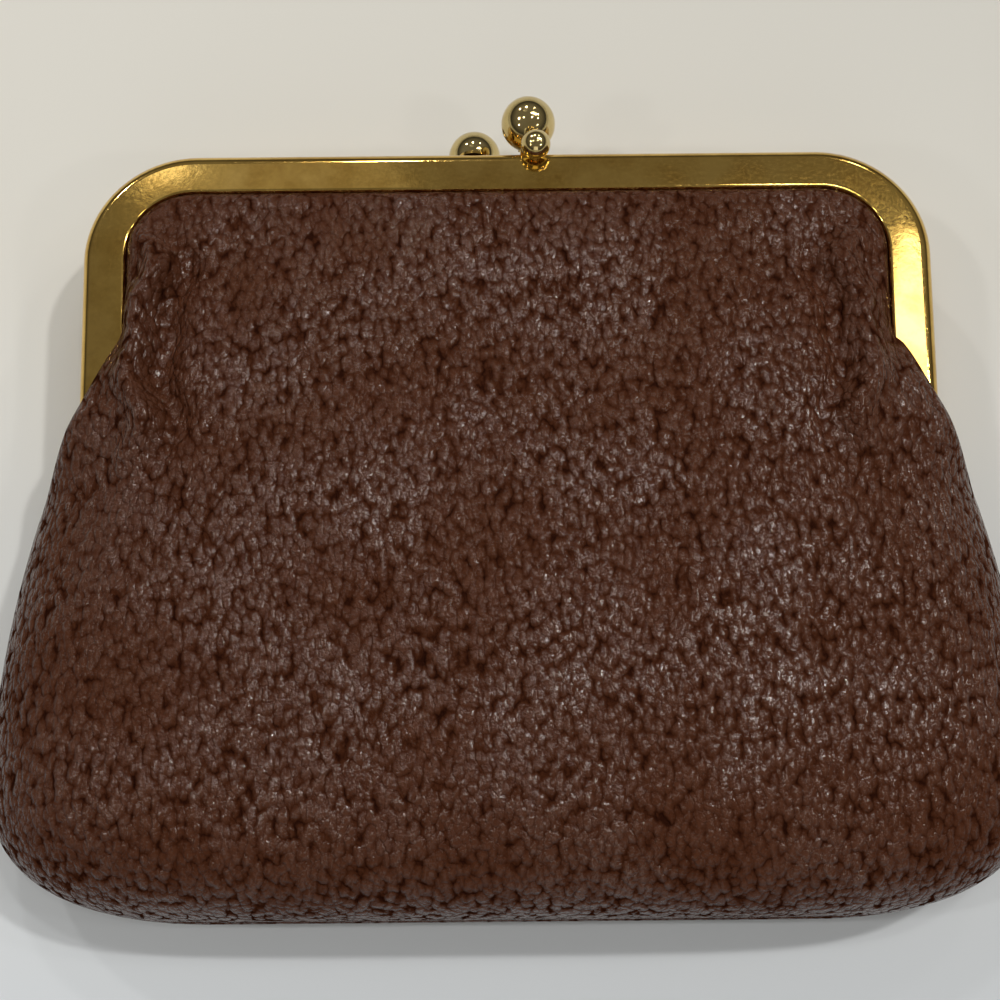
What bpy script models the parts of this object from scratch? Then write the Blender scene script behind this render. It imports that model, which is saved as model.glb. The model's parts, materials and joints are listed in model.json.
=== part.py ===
"""Coin purse with a ball-clasp frame, lying on its back: +X right, +Y toward the clasp, +Z up off the table."""

import math
from functools import partial

import bmesh
import bpy
from mathutils import Matrix, Vector

MM = 0.001

# Channel frame, two like halves that close face to face
FRAME_WIDTH = 85.0 * MM
FRAME_CORNER_RADIUS = 11.0 * MM
FRAME_DROP = 31.0 * MM
FRAME_DEPTH = 4.8 * MM
FRAME_FACE = 4.4 * MM
FRAME_FLANGE = 3.2 * MM
FRAME_WALL = 0.6 * MM
FRAME_GAP = 0.4 * MM
SHOULDER_RADIUS = 1.3 * MM
LEG_TOE_IN = 0.8 * MM

# Hinge, with the angle in degrees where the ears' round edge ends
EAR_RADIUS = 2.4 * MM
EAR_THICKNESS = 0.7 * MM
EAR_INSET = 0.05 * MM
EAR_GAP = 0.35 * MM
EAR_ROUND_END = 75.0
RIVET_RADIUS = 1.0 * MM
RIVET_FIT = 0.08 * MM
RIVET_HEAD_RADIUS = 1.8 * MM
RIVET_HEAD_HEIGHT = 0.6 * MM

# Clasp, its middle a little left of the purse's middle
CLASP_SIDE = -0.5 * MM
BALL_DIAMETER = 5.6 * MM
BALL_PASS_GAP = 0.1 * MM
BALL_LEAN = 3.4 * MM
BALL_TABLE_GAP = 0.7 * MM
ARM_RADIUS = 0.85 * MM
ARM_FIT = 0.1 * MM
ARM_COLLAR_RADIUS = 1.5 * MM
ARM_COLLAR_HEIGHT = 0.5 * MM
ARM_TAIL_GAP = 0.2 * MM
ARM_TAIL_HEIGHT = 0.4 * MM
ARM_LEDGE = 0.02 * MM
BEAD_DIAMETER = 3.3 * MM
BEAD_SIDE = 1.1 * MM
BEAD_ANGLE = math.radians(65.0)
BEAD_SHANK_RADIUS = 0.6 * MM
BEAD_TAIL = 0.2 * MM
CLASP_GAP = 0.25 * MM

# Leather pouch and lining
BODY_HEIGHT = 75.0 * MM
POUCH_WIDTH = 98.4 * MM
CORNER_ACROSS = 22.0 * MM
CORNER_UP = 14.0 * MM
CORNER_POWER = 2.5
FLANK_TAPER = 5.7 * MM
FLANK_POWER = 2.2
CROWN_HEIGHT = 16.0 * MM
BACK_FLATNESS = 0.6 * MM
LEATHER = 1.0 * MM
LINING = 0.4 * MM
LAYER_GAP = 0.3 * MM
LINING_SLACK = 0.6 * MM
SEAM_GAP = 0.5 * MM
WELT_THICKNESS = 0.3 * MM
WELT_WIDTH = 1.6 * MM
EDGE_IN_CHANNEL = 1.6 * MM
LEG_CLEARANCE = 0.8 * MM
SWING_CLEARANCE = 1.0 * MM
NECK_EASE = 7.0 * MM
SPLIT_RISE = 10.5 * MM
SPLIT_GAP = 1.0 * MM

# Heights over the bottom seam, and the closing plane's height over the table
BALL_RADIUS = BALL_DIAMETER / 2
BEAD_RADIUS = BEAD_DIAMETER / 2
BALL_SIDE = (BALL_DIAMETER + BALL_PASS_GAP) / 2
MID_HEIGHT = BALL_LEAN + BALL_RADIUS + BALL_TABLE_GAP
HALF_FRAME = FRAME_WIDTH / 2
FRAME_TOP = BODY_HEIGHT
HINGE_UP = FRAME_TOP - FRAME_DROP
LEG_END = HINGE_UP + EAR_RADIUS + LAYER_GAP
CORNER_UP_START = FRAME_TOP - FRAME_CORNER_RADIUS

# Distances from the closing plane, the same for both halves
MATE = FRAME_GAP / 2
FACE_OUT = MATE + FRAME_DEPTH
FACE_IN = FACE_OUT - FRAME_WALL
LEATHER_OUT = FACE_IN - LAYER_GAP
LINING_OUT = LEATHER_OUT - LEATHER - LAYER_GAP
CORD_TOP = LINING_OUT - LINING - LAYER_GAP
CORD_BOTTOM = MATE + FRAME_WALL + LAYER_GAP
CORD_RADIUS = (CORD_TOP - CORD_BOTTOM) / 2
CORD_OUT = (CORD_TOP + CORD_BOTTOM) / 2

# Clasp places, from the frame's top and the closing plane
BEAD_REACH = SHOULDER_RADIUS + LAYER_GAP + BEAD_RADIUS
BEAD_RISE = -SHOULDER_RADIUS + BEAD_REACH * math.cos(BEAD_ANGLE)
BEAD_LEAN = FACE_OUT - SHOULDER_RADIUS + BEAD_REACH * math.sin(BEAD_ANGLE)
BALL_BEAD_REACH = BALL_RADIUS + BEAD_RADIUS + CLASP_GAP
BALL_RISE = BEAD_RISE + math.sqrt(BALL_BEAD_REACH ** 2 - (BEAD_LEAN - BALL_LEAN) ** 2 - BEAD_SIDE ** 2)
ARM_LEAN = FACE_OUT / 2
ORIGIN_UP = (BODY_HEIGHT + BALL_RISE + BALL_RADIUS) / 2

# Pouch places: the neck between the legs, the frame's opening, the channel and the seam
SWING_FREE = HINGE_UP - FACE_OUT - SWING_CLEARANCE
NECK_HALF = HALF_FRAME - LEG_TOE_IN - FRAME_FACE - LEG_CLEARANCE
LIP_HALF = HALF_FRAME - FRAME_FACE - LAYER_GAP
LIP_TOP = FRAME_TOP - FRAME_FACE - LAYER_GAP
CHANNEL_TOP = FRAME_TOP - EDGE_IN_CHANNEL
RIM = WELT_THICKNESS / 2 + SEAM_GAP

ROW_EASE = 1.4
PURSE = "coin_purse"
CUTTERS = "cutters"


def clear_scene():
    """Removes every object, so that a second run gives the same parts."""
    for obj in list(bpy.data.objects):
        bpy.data.objects.remove(obj, do_unlink=True)


def collection(name):
    """Returns the collection of that name, linked to the scene."""
    found = bpy.data.collections.get(name)
    if found is None:
        found = bpy.data.collections.new(name)
        bpy.context.scene.collection.children.link(found)
    return found


def material(name, colour, roughness, metallic):
    """Returns a Principled material made from three plain values."""
    made = bpy.data.materials.get(name) or bpy.data.materials.new(name)
    made.use_nodes = True
    shader = made.node_tree.nodes["Principled BSDF"]
    shader.inputs["Base Color"].default_value = (*colour, 1.0)
    shader.inputs["Roughness"].default_value = roughness
    shader.inputs["Metallic"].default_value = metallic
    made.diffuse_color = (*colour, 1.0)
    return made


def add_object(name, mesh, finish):
    """Links a mesh as a named part of the purse."""
    obj = bpy.data.objects.new(name, mesh)
    collection(PURSE).objects.link(obj)
    mesh.materials.clear()
    mesh.materials.append(finish)
    return obj


def add_cutter(name, mesh):
    """Links a mesh that only cuts or joins other parts."""
    obj = bpy.data.objects.new(name, mesh)
    collection(CUTTERS).objects.link(obj)
    obj.hide_render = True
    obj.display_type = "WIRE"
    return obj


def boolean(obj, tool, operation):
    """Adds one exact Boolean modifier."""
    modifier = obj.modifiers.new(tool.name, "BOOLEAN")
    modifier.operation = operation
    modifier.solver = "EXACT"
    modifier.object = tool


def place(x, up, out):
    """Returns the point at x, at a height over the bottom seam and a distance in front of the closing plane."""
    return Vector((x, up - ORIGIN_UP, MID_HEIGHT + out))


def arc(centre, radius, start, end, steps):
    """Returns points on an arc, angles in degrees."""
    points = []
    for step in range(steps + 1):
        angle = math.radians(start + (end - start) * step / steps)
        points.append((centre[0] + radius * math.cos(angle), centre[1] + radius * math.sin(angle)))
    return points


def curve_object(name, points, cyclic, dimensions):
    """Returns a poly curve object through the points, each a 2D or 3D place."""
    curve = bpy.data.curves.new(name, "CURVE")
    curve.dimensions = dimensions
    spline = curve.splines.new("POLY")
    spline.points.add(len(points) - 1)
    for target, point in zip(spline.points, points):
        target.co = (*point, *(0.0,) * (3 - len(point)), 1.0)
    spline.use_cyclic_u = cyclic
    obj = bpy.data.objects.new(name, curve)
    bpy.context.scene.collection.objects.link(obj)
    return obj


def curve_to_mesh(obj):
    """Turns a curve object into a welded mesh and removes the curve."""
    bpy.context.view_layer.update()
    graph = bpy.context.evaluated_depsgraph_get()
    mesh = bpy.data.meshes.new_from_object(obj.evaluated_get(graph))
    mesh.transform(obj.matrix_world)
    welded = bmesh.new()
    welded.from_mesh(mesh)
    bmesh.ops.remove_doubles(welded, verts=welded.verts, dist=1e-7)
    bmesh.ops.recalc_face_normals(welded, faces=welded.faces)
    welded.to_mesh(mesh)
    welded.free()
    bpy.data.objects.remove(obj, do_unlink=True)
    return mesh


def swept_mesh(name, path, section):
    """Sweeps a closed section along a flat open path."""
    profile = curve_object(name + "_section", section, True, "2D")
    profile.data.fill_mode = "NONE"
    rail = curve_object(name, path, False, "2D")
    rail.data.fill_mode = "NONE"
    rail.data.bevel_mode = "OBJECT"
    rail.data.bevel_object = profile
    rail.data.use_fill_caps = True
    mesh = curve_to_mesh(rail)
    bpy.data.objects.remove(profile, do_unlink=True)
    return mesh


def tube_mesh(name, points, radii):
    """Runs a round tube through 3D points, with its own radius at each."""
    rail = curve_object(name, [tuple(point) for point in points], False, "3D")
    rail.data.bevel_depth = 1.0
    rail.data.bevel_resolution = 2
    rail.data.use_fill_caps = True
    for target, radius in zip(rail.data.splines[0].points, radii):
        target.radius = radius
    return curve_to_mesh(rail)


def plate_mesh(name, outline, thickness):
    """Fills a flat outline and gives it a thickness, centred on its plane."""
    flat = curve_object(name, outline, True, "2D")
    flat.data.fill_mode = "BOTH"
    flat.data.extrude = thickness / 2
    return curve_to_mesh(flat)


def cylinder_mesh(name, radius, depth, sides):
    """Returns a capped cylinder on Z, centred on the origin."""
    mesh = bpy.data.meshes.new(name)
    made = bmesh.new()
    bmesh.ops.create_cone(made, cap_ends=True, segments=sides, radius1=radius, radius2=radius, depth=depth)
    made.to_mesh(mesh)
    made.free()
    return mesh


def turned_object(name, profile, axis_point, direction, finish, sides):
    """Turns a radius and height profile about Z, then stands it on a point along a direction."""
    mesh = bpy.data.meshes.new(name)
    made = bmesh.new()
    corners = [made.verts.new((radius, 0.0, height)) for radius, height in profile]
    for first, second in zip(corners, corners[1:]):
        made.edges.new((first, second))
    made.to_mesh(mesh)
    made.free()
    obj = add_object(name, mesh, finish)
    turn = obj.modifiers.new("turn", "SCREW")
    turn.axis = "Z"
    turn.steps = sides
    turn.render_steps = sides
    turn.use_merge_vertices = True
    turn.merge_threshold = 0.00001
    obj.location = axis_point
    obj.rotation_euler = direction.to_track_quat("Z", "Y").to_euler()
    return obj


def leg_x(up):
    """Returns the half-width of the frame's outer edge at a height, legs toeing in toward the hinge."""
    fall = (CORNER_UP_START - up) / (CORNER_UP_START - LEG_END)
    return HALF_FRAME - LEG_TOE_IN * max(0.0, fall)


def frame_path(inset, end):
    """Returns the U path of the frame, a distance inside its outer edge, from leg end to leg end."""
    radius = FRAME_CORNER_RADIUS - inset
    side = HALF_FRAME - FRAME_CORNER_RADIUS
    path = [(-leg_x(end) + inset, end)]
    path += arc((-side, CORNER_UP_START), radius, 180.0, 90.0, 7)
    path += arc((side, CORNER_UP_START), radius, 90.0, 0.0, 7)
    path.append((leg_x(end) - inset, end))
    return [(x, up - ORIGIN_UP) for x, up in path]


def frame_section(side):
    """Returns the channel's section as depth inside the outer edge and height over the path's plane."""
    lip = FRAME_WALL / 2
    inner = SHOULDER_RADIUS - FRAME_WALL
    points = arc((FRAME_FACE - lip, FACE_OUT - lip), lip, -90.0, 90.0, 4)
    points += arc((SHOULDER_RADIUS, FACE_OUT - SHOULDER_RADIUS), SHOULDER_RADIUS, 90.0, 180.0, 4)
    points += arc((lip, MATE + lip), lip, 180.0, 270.0, 2)
    points.append((FRAME_FLANGE, MATE))
    points.append((FRAME_FLANGE, MATE + FRAME_WALL))
    points.append((FRAME_WALL, MATE + FRAME_WALL))
    points += arc((SHOULDER_RADIUS, FACE_OUT - SHOULDER_RADIUS), inner, 180.0, 90.0, 3)
    return [(depth, side * out) for depth, out in points]


def ear_mesh(name, hand, side, depth):
    """Returns one hinge ear, a plate across X that runs from a leg end round the hinge axis."""
    near = FRAME_GAP + FRAME_WALL
    far = FACE_OUT - FRAME_WALL / 2
    if depth <= EAR_INSET:
        far = FACE_OUT - SHOULDER_RADIUS
    top = LEG_END + EAR_RADIUS
    outline = [(near, top), (far, top), (far, LEG_END)]
    outline += [(out, HINGE_UP + up) for out, up in arc((0.0, 0.0), EAR_RADIUS, 0.0, -180.0, 10)]
    outline += [(out, HINGE_UP + up) for out, up in arc((0.0, 0.0), EAR_RADIUS, 180.0, EAR_ROUND_END, 5)]
    mesh = plate_mesh(name, [(side * out, up) for out, up in outline], EAR_THICKNESS)
    stand = Matrix(((0, 0, 1, 0), (0, 1, 0, 0), (1, 0, 0, 0), (0, 0, 0, 1)))
    middle = hand * (leg_x(LEG_END) - depth - EAR_THICKNESS / 2)
    mesh.transform(Matrix.Translation(place(middle, 0.0, 0.0)) @ stand)
    fixed = bmesh.new()
    fixed.from_mesh(mesh)
    bmesh.ops.recalc_face_normals(fixed, faces=fixed.faces)
    fixed.to_mesh(mesh)
    fixed.free()
    return mesh


def across(x, up, out, mesh):
    """Turns a mesh from Z to X and moves it to a place."""
    mesh.transform(Matrix.Translation(place(x, up, out)) @ Matrix.Rotation(math.pi / 2, 4, "Y"))
    return mesh


def add_frame(name, side, ear_depth, finish):
    """Builds one half of the frame with its two ears and the rivet holes."""
    mesh = swept_mesh(name, frame_path(0.0, LEG_END), frame_section(side))
    mesh.transform(Matrix.Translation((0.0, 0.0, MID_HEIGHT)))
    frame = add_object(name, mesh, finish)
    for hand, label in ((-1, "left"), (1, "right")):
        ear = add_cutter(f"{name}_{label}_ear", ear_mesh(f"{name}_{label}_ear", hand, side, ear_depth))
        boolean(frame, ear, "UNION")
        hole = cylinder_mesh(f"{name}_{label}_hole", RIVET_RADIUS + RIVET_FIT, 4 * FRAME_FACE, 24)
        across(hand * leg_x(LEG_END), HINGE_UP, 0.0, hole)
        boolean(frame, add_cutter(f"{name}_{label}_hole", hole), "DIFFERENCE")
    return frame


def add_rivet(name, hand, finish):
    """Builds a hinge rivet, headed inside and outside the two ears."""
    inside = 2 * EAR_THICKNESS + 2 * EAR_GAP + EAR_INSET
    outside = EAR_GAP
    profile = [(0.0, outside + RIVET_HEAD_HEIGHT)]
    profile.append((RIVET_HEAD_RADIUS * 0.7, outside + RIVET_HEAD_HEIGHT * 0.75))
    profile.append((RIVET_HEAD_RADIUS, outside))
    profile.append((RIVET_RADIUS, outside))
    profile.append((RIVET_RADIUS, -inside))
    profile.append((RIVET_HEAD_RADIUS, -inside))
    profile.append((RIVET_HEAD_RADIUS, -inside - RIVET_HEAD_HEIGHT))
    profile.append((0.0, -inside - RIVET_HEAD_HEIGHT))
    stand = place(hand * leg_x(LEG_END), HINGE_UP, 0.0)
    return turned_object(name, profile, stand, Vector((hand, 0.0, 0.0)), finish, 18)


def arm_points(x, side):
    """Returns the arm's centre line and radii, from its peened tail inside the channel to the ball's centre."""
    seat = FRAME_TOP + LAYER_GAP
    root = -side * ARM_LEAN
    inside = FRAME_TOP - FRAME_WALL
    shank = ARM_RADIUS * 0.9
    tail = ARM_COLLAR_RADIUS * 0.75
    peened = inside - ARM_TAIL_GAP
    heights = (peened - ARM_TAIL_HEIGHT, peened, peened, seat, seat, seat + ARM_COLLAR_HEIGHT)
    radii = [tail, tail, shank, shank, ARM_COLLAR_RADIUS, ARM_COLLAR_RADIUS]
    points = [place(x, up, root) for up in heights]
    start = Vector((x, seat + ARM_COLLAR_HEIGHT, root))
    ball = Vector((x, FRAME_TOP + BALL_RISE, side * BALL_LEAN))
    bend = Vector((x, FRAME_TOP + BALL_RISE * 0.85, root))
    for step in range(7):
        share = 0.92 * step / 6
        mixed = start * (1 - share) ** 2 + bend * (2 * share * (1 - share)) + ball * share ** 2
        points.append(place(*mixed))
        radii.append(ARM_RADIUS)
    return points, radii


def sphere_mesh(name, radius):
    """Returns a ball on the origin."""
    mesh = bpy.data.meshes.new(name)
    made = bmesh.new()
    bmesh.ops.create_uvsphere(made, u_segments=16, v_segments=10, radius=radius)
    made.to_mesh(mesh)
    made.free()
    return mesh


def spread(points, radii):
    """Parts points that share a place by a hair along the path, so that a step in radius stays a clean ledge."""
    moved = [points[0]]
    for before, point in zip(points, points[1:]):
        if (point - before).length < 1e-9:
            point = point + Vector((0.0, ARM_LEDGE, 0.0))
        moved.append(point)
    return moved, radii


def add_clasp(label, side, frame, brass):
    """Builds one clasp arm and its ball on a half of the frame, and drills the frame for the arm."""
    x = CLASP_SIDE + side * BALL_SIDE
    points, radii = spread(*arm_points(x, side))
    add_object(f"{label}_clasp_arm", tube_mesh(f"{label}_clasp_arm", points, radii), brass)
    drill = cylinder_mesh(f"{label}_arm_hole", ARM_RADIUS * 0.9 + ARM_FIT, 6 * FRAME_WALL, 16)
    drill.transform(Matrix.Rotation(math.pi / 2, 4, "X"))
    drill.transform(Matrix.Translation(place(x, FRAME_TOP, -side * ARM_LEAN)))
    boolean(frame, add_cutter(f"{label}_arm_hole", drill), "DIFFERENCE")
    mesh = sphere_mesh(f"{label}_clasp_ball", BALL_RADIUS)
    mesh.transform(Matrix.Translation(place(x, FRAME_TOP + BALL_RISE, side * BALL_LEAN)))
    ball = add_object(f"{label}_clasp_ball", mesh, brass)
    sleeve = [radius + ARM_FIT for radius in radii[-5:]]
    bore = add_cutter(f"{label}_ball_bore", tube_mesh(f"{label}_ball_bore", bore_points(points), sleeve))
    boolean(ball, bore, "DIFFERENCE")


def bore_points(points):
    """Returns the end of an arm's centre line, run on by a little so that the arm stops short of the bore's floor."""
    tail = list(points[-5:])
    onward = (tail[-1] - tail[-2]).normalized() * LAYER_GAP
    tail[-1] = tail[-1] + onward
    return tail


def add_bead(frame, brass):
    """Builds the stop bead on the front shoulder and drills the shoulder for its shank."""
    x = CLASP_SIDE + BALL_SIDE + BEAD_SIDE
    axis = Vector((0.0, math.cos(BEAD_ANGLE), math.sin(BEAD_ANGLE)))
    root = place(x, FRAME_TOP - SHOULDER_RADIUS, FACE_OUT - SHOULDER_RADIUS)
    seat = SHOULDER_RADIUS + LAYER_GAP
    tail = SHOULDER_RADIUS - FRAME_WALL - BEAD_TAIL
    profile = []
    for angle in range(90, -60, -15):
        turn = math.radians(angle)
        profile.append((BEAD_RADIUS * math.cos(turn), BEAD_REACH + BEAD_RADIUS * math.sin(turn)))
    profile[0] = (0.0, BEAD_REACH + BEAD_RADIUS)
    profile.append((BEAD_SHANK_RADIUS * 2, seat + LAYER_GAP))
    profile.append((BEAD_SHANK_RADIUS * 2, seat))
    profile.append((BEAD_SHANK_RADIUS, seat))
    profile.append((BEAD_SHANK_RADIUS, tail))
    profile.append((0.0, tail))
    turned_object("front_stop_bead", profile, root, axis, brass, 14)
    drill = cylinder_mesh("bead_hole", BEAD_SHANK_RADIUS + ARM_FIT, 2 * FRAME_WALL + BEAD_RADIUS, 16)
    turn = axis.to_track_quat("Z", "Y").to_matrix().to_4x4()
    drill.transform(Matrix.Translation(root + axis * SHOULDER_RADIUS) @ turn)
    boolean(frame, add_cutter("bead_hole", drill), "DIFFERENCE")


def smooth(value, start, end):
    """Returns 0 before start, 1 after end and an eased value between."""
    share = min(1.0, max(0.0, (value - start) / (end - start)))
    return share * share * (3 - 2 * share)


def round_rise(up):
    """Returns 0 at the bottom seam, 1 where the rounded bottom corner ends."""
    share = min(1.0, max(0.0, 1 - up / CORNER_UP))
    return max(0.0, 1 - share ** CORNER_POWER) ** (1 / CORNER_POWER)


def pouch_half_width(up, drawn=0.0):
    """Returns the half-width of the pouch's seam at a height over the bottom, or of a line drawn in from it."""
    half = POUCH_WIDTH / 2 - drawn - CORNER_ACROSS * (1 - round_rise(up - drawn))
    fall = max(0.0, up - CORNER_UP) / (HINGE_UP - CORNER_UP)
    return half - FLANK_TAPER * fall ** FLANK_POWER


def lower_half_width(up, drawn=0.0):
    """Returns the half-width of a panel that narrows to pass between the swinging legs."""
    wide = pouch_half_width(up, drawn)
    return wide + (NECK_HALF - drawn - wide) * smooth(up, SWING_FREE - NECK_EASE, SWING_FREE)


def channel_half_width(up):
    """Returns the half-width of a panel's edge inside the frame's channel."""
    if up <= CORNER_UP_START:
        return leg_x(up) - EDGE_IN_CHANNEL
    radius = FRAME_CORNER_RADIUS - EDGE_IN_CHANNEL
    rise = min(radius, up - CORNER_UP_START)
    return HALF_FRAME - FRAME_CORNER_RADIUS + math.sqrt(max(0.0, radius ** 2 - rise ** 2))


def rear_half_width(up, drawn=0.0):
    """Returns the half-width of the rear panel: seam, neck between the ears, then the channel."""
    entry = LEG_END + EAR_RADIUS
    into = smooth(up, entry, entry + NECK_EASE)
    below = lower_half_width(up, drawn)
    return below + (channel_half_width(up) - below) * into


def lip_half_width(up):
    """Returns the half-width of the frame's opening, rounded at its top corners."""
    if up <= CORNER_UP_START:
        return LIP_HALF - (HALF_FRAME - leg_x(max(up, LEG_END)))
    radius = FRAME_CORNER_RADIUS - FRAME_FACE - LAYER_GAP
    rise = min(radius, up - CORNER_UP_START)
    return HALF_FRAME - FRAME_CORNER_RADIUS + math.sqrt(max(0.0, radius ** 2 - rise ** 2))


def drawn_in(inset):
    """Returns how far a layer's seam is drawn in from the leather's seam."""
    return inset + LEATHER if inset else 0.0


def gripped(x, up):
    """Returns 1 where the frame's channel grips the layers, 0 out in the pouch."""
    opening = min(1.0, abs(x) / lip_half_width(up)) ** 4
    beside_legs = smooth(up, SWING_FREE, LEG_END)
    return max(smooth(up, LIP_TOP - CORNER_UP, LIP_TOP), opening * beside_legs)


def under(x, up, inset):
    """Returns a layer's depth under the leather's outside, slack in the pouch and close in the channel."""
    return inset + LINING_SLACK * (1 - gripped(x, up)) if inset else 0.0


def front_height(x, up, half, inset):
    """Returns the front leather's height over the closing plane, or that of a layer inset under it."""
    rise = round_rise(up - drawn_in(inset))
    fall = max(0.0, up - CORNER_UP) / (LIP_TOP - CORNER_UP)
    crown = LEATHER_OUT + (CROWN_HEIGHT - MID_HEIGHT - LEATHER_OUT) * (1 - min(1.0, fall) ** FLANK_POWER)
    pillow = math.sqrt(max(0.0, 1 - min(1.0, abs(x) / half) ** 4))
    low = RIM + (crown - under(x, up, inset) - RIM) * rise * pillow
    opening = min(1.0, abs(x) / lip_half_width(up))
    high = LEATHER_OUT - under(x, up, inset) + (crown - LEATHER_OUT) * (1 - opening ** 4)
    return low + (high - low) * smooth(up, SWING_FREE - NECK_EASE, SWING_FREE)


def rear_height(x, up, half, inset):
    """Returns the rear leather's height over the closing plane, or that of a layer inset above it."""
    pillow = math.sqrt(max(0.0, 1 - min(1.0, abs(x) / half) ** 4))
    floor = -MID_HEIGHT - BACK_FLATNESS
    low = -RIM + (floor + RIM) * round_rise(up - drawn_in(inset)) * pillow
    high = floor + (-LEATHER_OUT - floor) * gripped(x, up)
    out = low + (high - low) * smooth(up, SWING_FREE - NECK_EASE, SWING_FREE)
    return min(-RIM, max(-MID_HEIGHT, out) + under(x, up, inset))


def add_shell(name, low, high, half_width, height, inset, side, thickness, finish, columns, rows):
    """Bends a grid to an outline and a height, then thickens it toward the pouch's inside."""
    mesh = bpy.data.meshes.new(name)
    made = bmesh.new()
    bmesh.ops.create_grid(made, x_segments=columns, y_segments=rows, size=1.0)
    for corner in made.verts:
        share = (corner.co.y + 1) / 2
        up = low + (high - low) * share ** ROW_EASE
        half = half_width(up)
        x = half * math.sin(corner.co.x * math.pi / 2)
        corner.co = place(x, up, height(x, up, half, inset))
    if side < 0:
        bmesh.ops.reverse_faces(made, faces=made.faces)
    made.to_mesh(mesh)
    made.free()
    shell = add_object(name, mesh, finish)
    thicken = shell.modifiers.new("thickness", "SOLIDIFY")
    thicken.thickness = thickness
    thicken.offset = -1.0
    thicken.use_even_offset = True
    return shell


def add_leather(leather, fabric):
    """Builds the leather panels and the lining under them."""
    split = HINGE_UP + SPLIT_RISE
    inset = LEATHER + LAYER_GAP
    seam = drawn_in(inset)
    lined = partial(lower_half_width, drawn=seam)
    lined_rear = partial(rear_half_width, drawn=seam)
    in_channel = channel_half_width
    add_shell("rear_panel", 0.0, CHANNEL_TOP, rear_half_width, rear_height, 0.0, -1, LEATHER, leather, 22, 24)
    add_shell("front_panel", 0.0, split - SPLIT_GAP, lower_half_width, front_height, 0.0, 1, LEATHER, leather, 22, 20)
    add_shell("front_panel_flap", split, CHANNEL_TOP, in_channel, front_height, 0.0, 1, LEATHER, leather, 22, 8)
    add_shell("rear_lining", seam, CHANNEL_TOP, lined_rear, rear_height, inset, -1, LINING, fabric, 16, 18)
    add_shell("front_lining", seam, split - SPLIT_GAP, lined, front_height, inset, 1, LINING, fabric, 16, 14)
    flap_low = split + SPLIT_GAP
    add_shell("front_lining_flap", flap_low, CHANNEL_TOP, in_channel, front_height, inset, 1, LINING, fabric, 16, 6)


def add_welt(leather):
    """Builds the flat strip that lies in the seam between the panels."""
    top = SWING_FREE - NECK_EASE
    steps = 24
    rim = []
    for step in range(steps + 1):
        up = top * (1 - math.sin(step / steps * math.pi / 2))
        rim.append((-pouch_half_width(up) + LAYER_GAP, up + LAYER_GAP))
    path = rim + [(-x, up) for x, up in reversed(rim)]
    half = WELT_THICKNESS / 2
    section = [(0.0, -half), (0.0, half), (WELT_WIDTH, half), (WELT_WIDTH, -half)]
    mesh = swept_mesh("seam_welt", [(-x, up - ORIGIN_UP) for x, up in path], section)
    mesh.transform(Matrix.Translation((0.0, 0.0, MID_HEIGHT)))
    add_object("seam_welt", mesh, leather)


def add_cord(name, side, end, paper):
    """Builds the paper cord that packs one channel."""
    path = frame_path(EDGE_IN_CHANNEL + CORD_RADIUS, end)
    points = [Vector((x, up, MID_HEIGHT + side * CORD_OUT)) for x, up in path]
    mesh = tube_mesh(name, points, [CORD_RADIUS] * len(points))
    add_object(name, mesh, paper)


def main():
    """Builds every part of the purse."""
    clear_scene()
    brass = material("polished_brass", (0.52, 0.40, 0.16), 0.18, 1.0)
    leather = material("pebbled_leather", (0.105, 0.04, 0.026), 0.5, 0.0)
    fabric = material("lining_fabric", (0.20, 0.12, 0.07), 0.85, 0.0)
    paper = material("paper_cord", (0.55, 0.48, 0.38), 0.9, 0.0)
    rear = add_frame("rear_frame", -1, EAR_INSET + EAR_THICKNESS + EAR_GAP, brass)
    front = add_frame("front_frame", 1, EAR_INSET, brass)
    add_rivet("left_hinge_rivet", -1, brass)
    add_rivet("right_hinge_rivet", 1, brass)
    add_clasp("rear", 1, rear, brass)
    add_clasp("front", -1, front, brass)
    add_bead(front, brass)
    add_leather(leather, fabric)
    add_welt(leather)
    add_cord("rear_frame_cord", -1, LEG_END + 2 * EAR_RADIUS, paper)
    add_cord("front_frame_cord", 1, HINGE_UP + SPLIT_RISE + SPLIT_GAP, paper)


main()
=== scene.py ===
"""Dresses the coin purse: grained leather, polished brass frame and ball clasp, fabric lining, table and light."""

from __future__ import annotations

import json
import logging
import math
from dataclasses import dataclass
from enum import Enum
from typing import Any, Callable, Sequence

import bpy
from bpy.types import Material, Node, NodeSocket, NodeTree, Object
from mathutils import Matrix, Vector


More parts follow.
